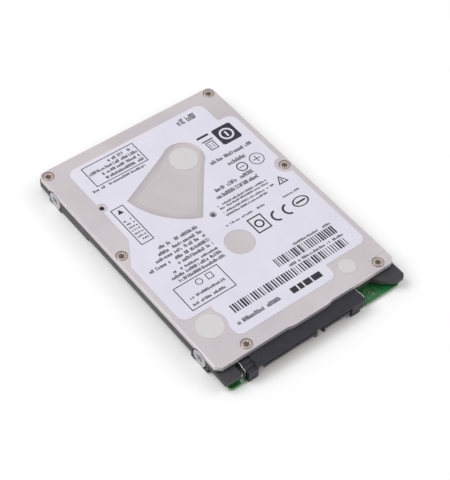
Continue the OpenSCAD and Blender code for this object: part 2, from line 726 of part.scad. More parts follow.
module spindle_hub() color([0.78, 0.78, 0.8]) at(spindle) rotate_extrude() polygon([
    [shaft_r, hub_under], [9.2, hub_under], [9.2, hub_seat - 0.5], [10.25, hub_seat - 0.5],
    [10.25, well_floor + 0.3], [skirt_r, well_floor + 0.3], [skirt_r, hub_seat],
    [platter_bore_d / 2 - 0.03, hub_seat], [platter_bore_d / 2 - 0.03, disk_z + 0.3],
    [3.2, disk_z + 0.3], [3.2, hub_nose], [shaft_r, hub_nose]]);

module rotor_magnet() color([0.35, 0.35, 0.37]) at(spindle)
    ring(10.25, 9.45, well_floor + 0.35, hub_seat - 0.5);

module stator_core() color([0.55, 0.56, 0.58]) at(spindle) slab(1.75, 2.65) {
    difference() {
        circle(4.6);
        circle(boss_r);
    }
    for (i = [0 : poles - 1]) rotate(360 / poles * i) {
        box2(4.4, 8.6, -0.55, 0.55);
        sector([8.35, 9.15], -130 / poles, 130 / poles);
    }
}

module stator_coils() color([0.72, 0.4, 0.2]) at(spindle) for (i = [0 : poles - 1])
    rotate([0, 0, 360 / poles * i]) difference() {
        block([5.2, 8.1], [-0.98, 0.98], [1.4, 3.0]);
        block([5, 8.3], [-0.56, 0.56], [1.74, 2.66]);
    }

module platter() color([0.86, 0.87, 0.88]) at(spindle)
    ring(platter_r, platter_bore_d / 2, disk_z - platter_t / 2, disk_z + platter_t / 2);

module disk_clamp() color([0.82, 0.82, 0.84]) at(spindle) {
    face = disk_z + platter_t / 2;
    difference() {
        rotate_extrude() polygon([[1.05, hub_nose], [3.4, hub_nose], [4, face + 0.05],
            [9.6, face + 0.05], [10.3, face], [11, face], [11, face + 0.3], [10, face + 0.38],
            [4.4, face + 0.38], [3.7, hub_nose + 0.35], [1.05, hub_nose + 0.35]]);
        for (i = [0 : 5]) rotate([0, 0, 60 * i]) translate([7, 0, 0]) disc(0.8, face - cut, face + 1);
    }
}

module clamp_screw() color([0.7, 0.7, 0.72]) at(spindle)
    screw(hub_nose + 0.35, 0.78, 1.9, 2.5, 0.45);

// ---------------------------------------------------------------- arm, heads and pivot

arm_bore_r = barrel_r - 0.9;
sleeve_in_r = arm_bore_r - 0.5;
preamp_a = 42;                                 // from the arm's direction
preamp_seat_r = barrel_r + 0.05;

module arm_plate() {
    difference() {
        union() {
            polygon([[0, -4.6], [0, 4.6], [arm_l, 2], [arm_l, -2]]);
            circle(barrel_r);
        }
        circle(arm_bore_r - 0.01);
        translate([10.5, 0]) circle(1.9);
        translate([15.5, 0]) circle(1.4);
    }
}

module actuator_arm() color([0.8, 0.81, 0.83]) on_arm() {
    ring(barrel_r, arm_bore_r, disk_z - barrel_h, disk_z + barrel_h);
    both_sides() slab(disk_z + arm_h, disk_z + barrel_h) difference() {
        arm_plate();
        circle(arm_bore_r);
    }
    rotate([0, 0, preamp_a]) block([arm_bore_r + 0.4, preamp_seat_r], [-1.2, 1.2],
        [disk_z - 0.5, disk_z + 0.5]);
    slab(disk_z - 0.5, disk_z + 0.5) difference() {
        sector([barrel_r - 0.3, frame_r[0] - frame_gap], 180 - 30, 180 + 30);
        translate([-7.4, 0]) circle(1.1);
    }
}

module pivot_sleeve() color([0.7, 0.7, 0.72]) on_arm()
    ring(arm_bore_r, sleeve_in_r, disk_z - barrel_h, disk_z + barrel_h);

module pivot_shaft() color([0.75, 0.75, 0.77]) at(pivot) difference() {
    union() {
        disc(2.7, floor_z, floor_z + 0.3);
        disc(pivot_r, floor_z + 0.3, pad_top);
        disc(1.18, relief_z + 0.5, floor_z);
    }
    disc(0.8, pad_top - 2, pad_top + cut);
}

bearing_zs = [disk_z - 0.65, disk_z + 0.65];
bearing_half = 0.42;
bearing_room = (sleeve_in_r - pivot_r) / 2;
ball_r = 0.36 * bearing_room;
ball_ring_r = pivot_r + bearing_room;
race_in_r = ball_ring_r - ball_r - 0.05;
race_out_r = ball_ring_r + ball_r + 0.05;

module bearing_inner_rings() color([0.78, 0.78, 0.8]) at(pivot) for (z = bearing_zs)
    ring(race_in_r, pivot_r, z - bearing_half, z + bearing_half);

module bearing_balls() color([0.9, 0.9, 0.92]) at(pivot) for (z = bearing_zs, i = [0 : 9])
    rotate([0, 0, 36 * i]) translate([ball_ring_r, 0, z]) sphere(ball_r);

module bearing_outer_rings() color([0.78, 0.78, 0.8]) on_arm() for (z = bearing_zs)
    ring(sleeve_in_r, race_out_r, z - bearing_half, z + bearing_half);

module pivot_screw() color([0.7, 0.68, 0.66]) at(pivot)
    screw(head_seat, 0.78, pad_top - head_seat + 2.4, 2.3, 0.4);

module voice_coil() color([0.72, 0.38, 0.18]) on_arm()
    slab(disk_z - coil_h, disk_z + coil_h) difference() {
        sector(coil_r, 180 - coil_half_a, 180 + coil_half_a);
        sector(coil_hole_r, 180 - coil_hole_half_a, 180 + coil_hole_half_a);
    }

module coil_frame() color([0.25, 0.22, 0.2]) on_arm() slab(disk_z - frame_h, disk_z + frame_h) {
    difference() {
        sector(frame_r, 180 - frame_half_a, 180 + frame_half_a);
        sector(coil_r + [-frame_gap, frame_gap], 180 - coil_half_a - 0.3, 180 + coil_half_a + 0.3);
    }
    sector([frame_r[1] - 0.2, catch_r], 180 + catch_a - catch_half_a, 180 + catch_a + catch_half_a);
}

// Spring arm that carries a head, above the disk
module suspension() {
    slab(disk_z + beam_h, disk_z + arm_h) difference() {
        box2(plate_l, beam_l, -1.8, 1.8);
        translate([plate_l + 1.6, 0]) circle(0.7);
    }
    slab(disk_z + beam_h, disk_z + beam_h + beam_t) difference() {
        polygon([[beam_l - 0.1, -1.8], [beam_l - 0.1, 1.8], [beam_end, 0.55], [beam_end, -0.55]]);
        translate([27, 0]) circle(0.8);
    }
    block([beam_end - 0.3, tab_l], [-0.25, 0.25], [disk_z + tab_h, disk_z + tab_h + 0.1]);
}

module upper_suspension() color([0.85, 0.84, 0.8]) on_arm() suspension();

module lower_suspension() color([0.85, 0.84, 0.8]) on_arm()
    translate([0, 0, 2 * disk_z]) mirror([0, 0, 1]) suspension();

module head_sliders() color([0.3, 0.3, 0.32]) on_arm() both_sides()
    block([head_reach - slider[0] / 2, head_reach + slider[0] / 2], [-slider[1] / 2, slider[1] / 2],
        [disk_z + platter_t / 2 + fly_gap, disk_z + beam_h]);

module preamp_chip() color([0.15, 0.15, 0.16]) on_arm() rotate([0, 0, preamp_a])
    block([preamp_seat_r, preamp_seat_r + 0.5], [-1.1, 1.1], [disk_z - 0.45, disk_z + 0.45]);

// ---------------------------------------------------------------- flat cable of the heads

bracket_x = [board_x - 6.4, board_x + 1.3];
bracket_y = [spindle[1] + 27, spindle[1] + 32.8];
function bracket_screw_at() = [bracket_x[1] - 1.5, bracket_y[0] + 1.5];

module head_slot_2d(g) box2(bracket_x[0] + 0.8 - g, bracket_x[0] + 5.4 + g,
    bracket_y[0] + 1.4 - g, bracket_y[1] - 1.4 + g);

module head_connector() color([0.2, 0.2, 0.2]) slab(chip_z, floor_z) head_slot_2d(0);

module flex_bracket() color([0.75, 0.76, 0.78]) difference() {
    union() {
        slab(floor_z, floor_z + 0.4) round_box2(bracket_x[0], bracket_x[1], bracket_y[0],
            bracket_y[1], 0.8);
        block([bracket_x[0] + 0.4, bracket_x[0] + 4.4], [bracket_y[1] - 0.6, bracket_y[1] - 0.3],
            [floor_z + 0.4, disk_z + 0.8]);
    }
    at(bracket_screw_at()) disc(0.95, floor_z - cut, floor_z + 1);
}

// Thin ribbon standing on edge: from the bracket in a loose bow to the arm's barrel
ribbon_t = 0.1;
module flex_cable() color([0.78, 0.52, 0.16]) {
    start = [bracket_x[0] + 4.2, bracket_y[1] - 0.25];
    stop_a = arm_a + 98;
    finish = pivot + (barrel_r + 0.15) * [cos(stop_a), sin(stop_a)];
    elbow = [finish[0] + 0.3, start[1]];
    slab(disk_z - 0.6, disk_z + 0.6) {
        box2(elbow[0] - ribbon_t, start[0], start[1], start[1] + ribbon_t);
        box2(elbow[0] - ribbon_t, elbow[0], start[1], finish[1]);
        box2(finish[0] - 0.05, elbow[0], finish[1] - ribbon_t, finish[1]);
    }
}

// ---------------------------------------------------------------- voice coil motor

function yoke_screw_at() = pivot + 20.6 * [cos(coil_a + 25), sin(coil_a + 25)];

module yoke_2d() sector(yoke_r, post_a[0] - 5.5, post_a[1] + 4);

module lower_yoke() color([0.72, 0.73, 0.75]) {
    at(pivot) {
        slab(floor_z, disk_z - magnet_h - magnet_t) yoke_2d();
        for (a = post_a) rotate([0, 0, a]) translate([post_ring_r, 0, 0])
            disc(post_r, disk_z - magnet_h - magnet_t - 0.1, disk_z + magnet_h + magnet_t);
    }
    slab(floor_z, floor_z + 0.5) difference() {
        union() {
            at(yoke_screw_at()) circle(1.7);
            at(pivot) sector([18, 20.4], coil_a + 21, coil_a + 29);
        }
        at(yoke_screw_at()) circle(0.95);
    }
}

module upper_yoke() color([0.72, 0.73, 0.75]) at(pivot)
    slab(disk_z + magnet_h + magnet_t, disk_z + magnet_h + magnet_t + yoke_top_t) yoke_2d();

module voice_coil_magnets() color([0.62, 0.63, 0.65]) at(pivot) both_sides()
    slab(disk_z + magnet_h, disk_z + magnet_h + magnet_t)
        sector(magnet_r, coil_a - 16, coil_a + arm_travel + 16);

module crash_stops() color([0.08, 0.08, 0.08]) at(pivot) for (a = post_a)
    rotate([0, 0, a]) translate([post_ring_r, 0, 0])
        ring(stop_r, post_r + stop_hole_gap, disk_z - magnet_h + 0.05, disk_z + magnet_h - 0.05);

// Small screws that hold the lower yoke, the ramp and the flat cable's bracket
module inner_screws() color([0.7, 0.7, 0.72]) {
    at(yoke_screw_at()) screw(floor_z + 0.5, 0.78, 1.7, 1.3, 0.45);
    at(ramp_screw_at()) screw(floor_z + 0.5, 0.78, 1.7, 1.1, 0.45);
    at(bracket_screw_at()) screw(floor_z + 0.4, 0.78, 0.85, 1.3, 0.45);
}

// ---------------------------------------------------------------- ramp and latch

function ramp_screw_at() = pivot + 38 * [cos(arm_a - 8.8), sin(arm_a - 8.8)];

module load_ramp() color([0.88, 0.86, 0.8]) difference() {
    union() {
        on_arm() {
            slab(disk_z - tab_h + ramp_gap, disk_z + tab_h - ramp_gap)
                sector(ramp_r, ramp_a[0], ramp_a[1]);
            slab(floor_z, disk_z + tab_h - ramp_gap)
                sector([ramp_r[1] - 0.1, ramp_post_r[1]], ramp_post_a[0], ramp_post_a[1]);
            slab(floor_z, floor_z + 0.5) sector([36.6, 39.3], ramp_ear_a, ramp_post_a[0] + 0.2);
        }
    }
    at(spindle) disc(platter_r + 0.25, disk_z - platter_t / 2 - ramp_slot_gap,
        disk_z + platter_t / 2 + ramp_slot_gap);
    at(ramp_screw_at()) disc(0.95, floor_z - cut, floor_z + 1);
}

module latch_lever() color([0.85, 0.82, 0.7]) at(latch_p) difference() {
    slab(disk_z - 0.4, disk_z + 0.4) {
        circle(latch_hub_r);
        rotate(latch_rest_a) {
            box2(0, latch_l, -0.45, 0.45);
            translate([latch_l, 0]) circle(latch_tip_r);
        }
        rotate(latch_rest_a + 150) box2(0, 2.1, -0.5, 0.5);
    }
    disc(latch_pin_r + run_gap, disk_z - 1, disk_z + 1);
}

module latch_pin() color([0.75, 0.75, 0.77]) at(latch_p) {
    disc(1, floor_z, disk_z - 0.45);
    disc(latch_pin_r, disk_z - 0.45, disk_z + 0.8);
}

// ---------------------------------------------------------------- filters

module recirculation_filter() color([0.93, 0.93, 0.9]) at(filter_at)
    rotate([0, 0, atan2(filter_dir[1], filter_dir[0])])
        block([-0.5, 0.7], [-2.1, 2.1], [floor_z, floor_z + 2.8]);

module breather_filter() color([0.9, 0.9, 0.88]) at(breather_at)
    disc(3, cover_under - 0.9, cover_under);

base_casting();
top_cover();
cover_gasket();
cover_screws();
product_label();
foil_seals();
circuit_board();
board_screws();
board_insulator();
sata_plug();
power_contacts();
signal_contacts();
plug_hold_downs();
controller_chip();
motor_driver_chip();
memory_chip();
flash_chip();
crystal();
passive_components();
shock_sensors();
test_points();
motor_flex();
motor_contacts();
head_connector();
bearing_sleeve();
thrust_plate();
spindle_shaft();
spindle_hub();
rotor_magnet();
stator_core();
stator_coils();
platter();
disk_clamp();
clamp_screw();
actuator_arm();
pivot_sleeve();
pivot_shaft();
bearing_inner_rings();
bearing_balls();
bearing_outer_rings();
pivot_screw();
voice_coil();
coil_frame();
upper_suspension();
lower_suspension();
head_sliders();
preamp_chip();
flex_cable();
flex_bracket();
lower_yoke();
upper_yoke();
voice_coil_magnets();
crash_stops();
inner_screws();
load_ramp();
latch_lever();
latch_pin();
recirculation_filter();
breather_filter();
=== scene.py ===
import json
import math

import bmesh
import bpy
from mathutils import Matrix, Vector
from mathutils.geometry import delaunay_2d_cdt

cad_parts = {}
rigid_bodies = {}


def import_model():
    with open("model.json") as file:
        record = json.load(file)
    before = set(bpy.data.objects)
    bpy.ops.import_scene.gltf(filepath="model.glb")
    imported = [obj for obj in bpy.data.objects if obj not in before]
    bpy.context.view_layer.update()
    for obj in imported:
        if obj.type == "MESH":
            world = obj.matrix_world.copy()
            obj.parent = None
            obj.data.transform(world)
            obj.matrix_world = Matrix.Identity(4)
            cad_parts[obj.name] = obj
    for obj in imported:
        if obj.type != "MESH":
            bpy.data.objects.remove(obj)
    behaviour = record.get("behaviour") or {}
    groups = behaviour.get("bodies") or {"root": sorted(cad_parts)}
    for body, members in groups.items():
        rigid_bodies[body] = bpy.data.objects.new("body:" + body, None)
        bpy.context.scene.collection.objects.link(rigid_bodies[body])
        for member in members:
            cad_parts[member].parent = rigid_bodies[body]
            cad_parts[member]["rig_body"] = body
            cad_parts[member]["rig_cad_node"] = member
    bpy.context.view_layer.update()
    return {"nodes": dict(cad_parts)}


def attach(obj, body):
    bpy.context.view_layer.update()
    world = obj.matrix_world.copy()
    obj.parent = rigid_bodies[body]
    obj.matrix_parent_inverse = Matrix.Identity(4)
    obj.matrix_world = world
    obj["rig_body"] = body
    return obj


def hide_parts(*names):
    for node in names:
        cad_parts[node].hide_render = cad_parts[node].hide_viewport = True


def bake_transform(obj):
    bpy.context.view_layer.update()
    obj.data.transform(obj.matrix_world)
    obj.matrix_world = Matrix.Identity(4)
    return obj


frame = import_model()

# ---------------------------------------------------------------- base casting
# The base is one aluminium die casting, coated satin black all over. The seats of the mounting
# screws are milled afterwards, so round bright pads show on its sides and under its rails.


class Wire:
    """A socket of a material. Arithmetic on it adds Math nodes, and make() adds any other node."""

    def __init__(self, tree, socket):
        self.tree, self.socket = tree, socket

    def make(self, kind, settings, values, out=0):
        node = self.tree.nodes.new(kind)
        for name, value in settings.items():
            if name == "stops":
                ramp = node.color_ramp
                while len(ramp.elements) < len(value):
                    ramp.elements.new(0.5)
                for element, (place, colour) in zip(ramp.elements, value):
                    element.position, element.color = place, (*colour, 1)
            else:
                setattr(node, name, value)
        for key, value in values.items():
            if isinstance(value, Wire):
                self.tree.links.new(value.socket, node.inputs[key])
            else:
                node.inputs[key].default_value = value
        return Wire(self.tree, node.outputs[out])

    def math(self, operation, *values):
        return self.make("ShaderNodeMath", {"operation": operation}, dict(enumerate(values)))

    def __add__(self, other):
        return self.math("ADD", self, other)

    __radd__ = __add__

    def __sub__(self, other):
        return self.math("SUBTRACT", self, other)

    def __rsub__(self, other):
        return self.math("SUBTRACT", other, self)

    def __mul__(self, other):
        return self.math("MULTIPLY", self, other)

    __rmul__ = __mul__

    def __truediv__(self, other):
        return self.math("DIVIDE", self, other)

    def __abs__(self):
        return self.math("ABSOLUTE", self)

    def __lt__(self, other):
        return self.math("LESS_THAN", self, other)

    def __gt__(self, other):
        return self.math("GREATER_THAN", self, other)

    def __and__(self, other):
        return self.math("MULTIPLY", self, other)

    def __or__(self, other):
        return self.math("MAXIMUM", self, other)

    def within(self, centre, half):
        """1 where the value is no further than half from centre."""
        return self.math("COMPARE", self, centre, half)

    def root(self):
        return self.math("SQRT", self)

    def floor(self):
        return self.math("FLOOR", self)

    def fract(self):
        return self.math("FRACT", self)

    def edge(self, low, high):
        """0 below low, 1 above high, and a ramp between them."""
        return self.make("ShaderNodeMapRange", {}, {0: self, 1: low, 2: high, 3: 0.0, 4: 1.0})


class Finish:
    """A material on one shader, with the object's coordinates in millimetres to draw on."""

    def __init__(self, name, metallic=0.0, roughness=0.5, **fixed):
        self.material = bpy.data.materials.new(name)
        self.material.use_nodes = True
        self.tree = self.material.node_tree
        self.shader = self.tree.nodes["Principled BSDF"]
        self.shader.inputs["Metallic"].default_value = metallic
        self.shader.inputs["Roughness"].default_value = roughness
        for key, value in fixed.items():
            self.shader.inputs[key.replace("_", " ")].default_value = value
        self.start = Wire(self.tree, None)
        place = self.start.make("ShaderNodeTexCoord", {}, {}, "Object")
        self.place = self.start.make(
            "ShaderNodeVectorMath", {"operation": "SCALE"}, {0: place, "Scale": 1000.0})
        parts = self.tree.nodes.new("ShaderNodeSeparateXYZ")
        self.tree.links.new(self.place.socket, parts.inputs[0])
        self.x, self.y, self.z = (Wire(self.tree, s) for s in parts.outputs)

    def noise(self, size, detail=2.0, rough=0.5, stretch=(1, 1, 1)):
        """Noise with lumps of about that size in millimetres, drawn out by stretch."""
        spread = tuple(1 / (size * s) for s in stretch)
        at = self.start.make("ShaderNodeMapping", {}, {"Vector": self.place, "Scale": spread})
        return self.start.make("ShaderNodeTexNoise", {}, {
            "Vector": at, "Scale": 1.0, "Detail": detail, "Roughness": rough})

    def blend(self, share, a, b):
        """Colour a where share is 0 and b where it is 1."""
        a, b = (c if isinstance(c, Wire) else (*c, 1) for c in (a, b))
        return self.start.make("ShaderNodeMix", {"data_type": "RGBA"}, {0: share, 6: a, 7: b}, 2)

    def ring(self, x, y):
        """Distance from a vertical axis, in millimetres."""
        dx, dy = self.x - x, self.y - y
        return (dx * dx + dy * dy).root()

    def nowhere(self):
        """A mask that is 0 all over, to gather others into."""
        return self.start.math("LESS_THAN", 1, 0)

    def drive(self, name, wire):
        self.tree.links.new(wire.socket, self.shader.inputs[name])

    def colour(self, wire):
        self.drive("Base Color", wire)

    def relief(self, height, depth):
        """Bump of the given depth in millimetres where height goes from 0 to 1."""
        bump = self.start.make("ShaderNodeBump", {}, {
            "Height": height, "Strength": 1.0, "Distance": depth / 1000})
        self.drive("Normal", bump)


def mottled(name, dark, light, lump, grain, depth, metallic=0.0, rough=(0.4, 0.5), **fixed):
    """A finish whose colour drifts from dark to light, with a fine grain in its gloss and relief."""
    made = Finish(name, metallic, **fixed)
    drift = made.noise(lump, 3).edge(0.3, 0.7)
    fine = made.noise(grain, 2)
    made.colour(made.blend(drift * 0.75 + fine * 0.25, dark, light))
    made.drive("Roughness", fine * (rough[1] - rough[0]) + rough[0])
    made.relief(fine, depth)
    return made


def coat(made, *nodes):
    """Gives CAD nodes or pieces that finish in place of what they have."""
    for node in nodes:
        target = frame["nodes"][node] if isinstance(node, str) else node
        if target.material_slots:
            for held in target.material_slots:
                held.material = made.material
        else:
            target.data.materials.append(made.material)


def alone(obj):
    """Selects only that object."""
    bpy.ops.object.select_all(action="DESELECT")
    obj.select_set(True)
    bpy.context.view_layer.objects.active = obj


def clean_copy(node, piece):
    """A copy of a CAD node, merged, with its flat faces whole, that stands for the node."""
    source = frame["nodes"][node]
    alone(source)
    bpy.ops.object.duplicate()
    copy = bpy.context.view_layer.objects.active
    body = copy["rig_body"]
    copy.parent = None
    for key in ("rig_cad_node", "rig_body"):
        del copy[key]
    copy.name = piece
    copy.data.name = piece
    bpy.ops.object.mode_set(mode="EDIT")
    bpy.ops.mesh.select_all(action="SELECT")
    bpy.ops.mesh.customdata_custom_splitnormals_clear()
    bpy.ops.mesh.remove_doubles(threshold=2e-6)
    bpy.ops.mesh.dissolve_limited(angle_limit=math.radians(0.6))
    bpy.ops.object.mode_set(mode="OBJECT")
    return copy, body


def retile(mesh):
    """Cuts every many-sided face into triangles inside its outline, and closes the skin again."""
    shape = bmesh.new()
    shape.from_mesh(mesh)
    for face in [f for f in shape.faces if len(f.verts) > 4]:
        lay = face.normal.rotation_difference(Vector((0, 0, 1)))
        raise_up = lay.inverted()
        corners = list(face.verts)
        flat = [lay @ v.co for v in corners]
        spots, _, tiles, origin, _, _ = delaunay_2d_cdt(
            [p.xy for p in flat], [], [list(range(len(flat)))], 1, 1e-9)
        if not tiles:
            continue
        made = [corners[origin[k][0]] if origin[k] else
                shape.verts.new(raise_up @ Vector((*spot, flat[0].z))) for k, spot in enumerate(spots)]
        for tile in tiles:
            ring = [made[k] for k in tile]
            if len(set(ring)) == 3 and shape.faces.get(ring) is None:
                new = shape.faces.new(ring)
                new.normal_update()
                if new.normal.dot(face.normal) < 0:
                    new.normal_flip()
        shape.faces.remove(face)
    bmesh.ops.remove_doubles(shape, verts=shape.verts[:], dist=1e-6)
    bmesh.ops.delete(shape, geom=[e for e in shape.edges if not e.link_faces], context="EDGES")
    bmesh.ops.holes_fill(shape, edges=[e for e in shape.edges if e.is_boundary], sides=0)
    shape.to_mesh(mesh)
    shape.free()


def smooth(obj):
    """Applies the edge rounding, then shades the rounds smooth and keeps the flats flat."""
    alone(obj)
    reach = [[v.co[i] for v in obj.data.vertices] for i in range(3)]
    lowest, highest = [min(r) for r in reach], [max(r) for r in reach]
    bpy.ops.object.modifier_apply(modifier="edges")
    for v in obj.data.vertices:
        v.co = [min(max(v.co[i], lowest[i]), highest[i]) for i in range(3)]
    retile(obj.data)
    bpy.ops.object.shade_smooth_by_angle(angle=math.radians(32))
    even = obj.modifiers.new("even", "WEIGHTED_NORMAL")
    even.keep_sharp = True
    even.weight = 100
    bpy.ops.object.modifier_apply(modifier="even")


def rounded_copy(node, piece, width, angle=38, segments=2):
    """A clean copy with its sharp edges rounded by width, in millimetres."""
    copy, body = clean_copy(node, piece)
    bevel = copy.modifiers.new("edges", "BEVEL")
    bevel.width = width / 1000
    bevel.segments = segments
    bevel.limit_method = "ANGLE"
    bevel.angle_limit = math.radians(angle)
    bevel.use_clamp_overlap = False
    smooth(copy)
    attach(copy, body)
    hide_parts(node)
    return copy


side_x = 34.925
mount_y = (-36.1, 40.5)
mount_z = 3.0
bottom_x = 30.86
side_pad_r, rail_pad_r, tapped_r = 2.97, 2.75, 1.3
bore_depth = 2.6

casting_finish = Finish("coated_casting", Coat_Weight=0.0, Specular_IOR_Level=0.45)
f = casting_finish
grain = f.noise(0.22, 3, 0.6)
drift = f.noise(7.0, 3)
side_pad = f.nowhere()
for y in mount_y:
    dy, dz = f.y - y, f.z - mount_z
    side_pad = side_pad | ((dy * dy + dz * dz) < side_pad_r ** 2)
side_pad = side_pad & (abs(f.x) > side_x - 0.3)
rail_pad = f.nowhere()
for y in mount_y:
    for x in (-bottom_x, bottom_x):
        rail_pad = rail_pad | (f.ring(x, y) < rail_pad_r)
rail_pad = rail_pad & (f.z < 0.05)
bore = (f.y.within(mount_y[0], tapped_r) | f.y.within(mount_y[1], tapped_r)) & (
    (abs(f.x) > side_x - bore_depth) & f.z.within(mount_z, tapped_r) & (abs(f.x) < side_x - 0.02))
bare = side_pad | rail_pad | bore
tool = f.noise(0.16, 1, stretch=(1, 1, 9))
black = f.blend(drift.edge(0.35, 0.65) * 0.6 + grain * 0.4,
                (0.026, 0.026, 0.028), (0.05, 0.05, 0.054))
bright = f.blend(tool, (0.36, 0.36, 0.37), (0.66, 0.66, 0.68))
f.colour(f.blend(bare, black, bright))
f.drive("Metallic", bare * 0.96)
f.drive("Roughness", bare * (tool * 0.16 + 0.24) + (1 - bare) * (grain * 0.2 + 0.36))
f.relief((1 - bare) * grain + bare * tool * 0.4, 0.035)

casting = rounded_copy("base_casting", "casting", 0.06)
coat(casting_finish, casting)

# ---------------------------------------------------------------- spindle motor
# A ground steel shaft turns in a bronze sleeve pressed into the base. The hub carries a ring
# magnet round nine wound poles of stacked laminations glued to the base's post.

spindle = (0.3, -10.6)
pivot = (7.4, 28.1)


def turned(name, dark, light, axis, rough=(0.16, 0.34), pitch=0.09, depth=0.006):
    """Metal turned on a lathe: fine rings about a vertical axis in its gloss and relief."""
    made = Finish(name, 1.0)
    radius = made.ring(*axis)
    rings = made.start.make("ShaderNodeTexNoise", {"noise_dimensions": "1D"}, {
        "W": radius / pitch, "Scale": 1.0, "Detail": 2.0})
    made.colour(made.blend(rings * 0.7 + made.noise(2.0) * 0.3, dark, light))
    made.drive("Roughness", rings * (rough[1] - rough[0]) + rough[0])
    made.relief(rings, depth)
    return made


coat(turned("hub_aluminium", (0.62, 0.62, 0.64), (0.84, 0.84, 0.86), spindle), "spindle_hub")
coat(turned("clamp_aluminium", (0.6, 0.6, 0.62), (0.88, 0.88, 0.9), spindle), "disk_clamp")
coat(turned("shaft_steel", (0.5, 0.5, 0.52), (0.78, 0.78, 0.8), spindle, rough=(0.08, 0.2)),
     "spindle_shaft", "thrust_plate")
coat(mottled("sintered_bronze", (0.38, 0.23, 0.1), (0.62, 0.4, 0.2), 0.5, 0.08, 0.01, 0.9,
             (0.4, 0.6)), "bearing_sleeve")
coat(mottled("ring_magnet", (0.12, 0.12, 0.13), (0.24, 0.24, 0.25), 1.5, 0.1, 0.01, 0.7,
             (0.35, 0.5)), "rotor_magnet")

sheet_thickness, wire_width = 0.15, 0.14
laminations = Finish("lamination_steel", 0.9)
sheet = (laminations.z / sheet_thickness).fract().within(0.5, 0.4)
laminations.colour(laminations.blend(sheet, (0.05, 0.05, 0.05), (0.4, 0.41, 0.43)))
laminations.drive("Roughness", laminations.noise(0.2) * 0.2 + 0.35)
laminations.relief(sheet, 0.02)
coat(laminations, "stator_core")


def wound(name, across):
    """Enamelled copper wire laid in turns; across gives the distance over the turns."""
    made = Finish(name, 0.85, 0.25, Coat_Weight=0.6, Coat_Roughness=0.12)
    turn = (across(made) / wire_width).fract()
    crest_height_and_shade = 1 - abs(turn - 0.5) * 2
    # Painted shade and highlight: each turn is painted dark in the grooves between turns and bright copper
    # along its crest.
    made.colour(made.blend(crest_height_and_shade, (0.16, 0.05, 0.015), (0.72, 0.3, 0.1)))
    made.drive("Roughness", made.noise(0.1) * 0.15 + 0.2)
    made.relief(crest_height_and_shade, 0.05)
    return made


coat(wound("pole_winding", lambda made: made.ring(*spindle)), "stator_coils")
coat(wound("coil_winding", lambda made: made.ring(*pivot)), "voice_coil")

# ---------------------------------------------------------------- disk and clamp
# One glass disk, sputtered to a mirror, sits on the hub's ledge. A sprung aluminium clamp and one
# screw in the end of the shaft hold it down.

coat(turned("disk_mirror", (0.74, 0.745, 0.76), (0.84, 0.845, 0.86), spindle, rough=(0.03, 0.055),
            pitch=0.5, depth=0.0003), "platter")


def plated(name, dark, light, rough=(0.2, 0.34), lump=0.8, grain=0.12):
    """Plated or rolled metal with a faint mottle and a fine grain."""
    return mottled(name, dark, light, lump, grain, 0.006, 1.0, rough)


zinc = plated("small_screw_steel", (0.42, 0.42, 0.44), (0.66, 0.66, 0.68))
clamp_screw = rounded_copy("clamp_screw", "clamp_screw_head", 0.05)
inner_screws = rounded_copy("inner_screws", "inner_screw_set", 0.05)
coat(zinc, clamp_screw, inner_screws)

# ---------------------------------------------------------------- arm and pivot
# The arm is cut from an aluminium extrusion, glued round a steel sleeve that runs on two ball
# bearings. The coil is moulded into a brown resin fork at its back.

coat(plated("milled_aluminium", (0.64, 0.64, 0.66), (0.86, 0.86, 0.88), rough=(0.22, 0.36)),
     "actuator_arm")
coat(turned("bearing_steel", (0.5, 0.5, 0.52), (0.82, 0.82, 0.84), pivot, rough=(0.06, 0.16)),
     "pivot_sleeve", "pivot_shaft", "bearing_inner_rings", "bearing_balls", "bearing_outer_rings")
coat(mottled("coil_resin", (0.05, 0.035, 0.025), (0.12, 0.085, 0.06), 0.9, 0.1, 0.012,
             rough=(0.35, 0.5)), "coil_frame")
coat(mottled("slider_ceramic", (0.04, 0.04, 0.045), (0.09, 0.09, 0.1), 0.2, 0.04, 0.002, 0.2,
             (0.12, 0.2)), "head_sliders")
coat(plated("spring_steel", (0.55, 0.54, 0.51), (0.8, 0.79, 0.75), rough=(0.16, 0.28)),
     "upper_suspension", "lower_suspension", "flex_bracket")
coat(mottled("preamp_resin", (0.012, 0.012, 0.013), (0.03, 0.03, 0.032), 0.4, 0.05, 0.006,
             rough=(0.5, 0.65)), "preamp_chip")

# ---------------------------------------------------------------- head cable
# A thin amber polyimide ribbon with copper tracks runs from its bracket to the arm's barrel.

ribbon_path = [(25.2, 22.0), (22.5, 22.0), (19.5, 21.95), (16.8, 21.8), (14.6, 21.7), (12.8, 21.75),
               (11.5, 22.05), (10.75, 22.5), (10.4, 23.0), (10.27, 23.45)]
ribbon_low, ribbon_high, ribbon_thickness = 3.7, 4.9, 0.1
bpy.ops.object.select_all(action="DESELECT")
bpy.ops.mesh.primitive_plane_add(size=1, location=(0, 0, 0))
ribbon = bpy.context.view_layer.objects.active
ribbon.name = "head_cable_ribbon"
bpy.ops.object.mode_set(mode="EDIT")
bpy.ops.mesh.select_mode(type="EDGE")
bpy.ops.mesh.select_all(action="SELECT")
bpy.ops.transform.rotate(value=math.radians(90), orient_axis="X", center_override=(0, 0, 0))
bpy.ops.object.mode_set(mode="OBJECT")
first, second = ribbon_path[0], ribbon_path[1]
for corner in ribbon.data.vertices:
    at_x, at_y = first if corner.co.x > 0 else second
    corner.co = (at_x / 1000, at_y / 1000, (ribbon_high if corner.co.z > 0 else ribbon_low) / 1000)
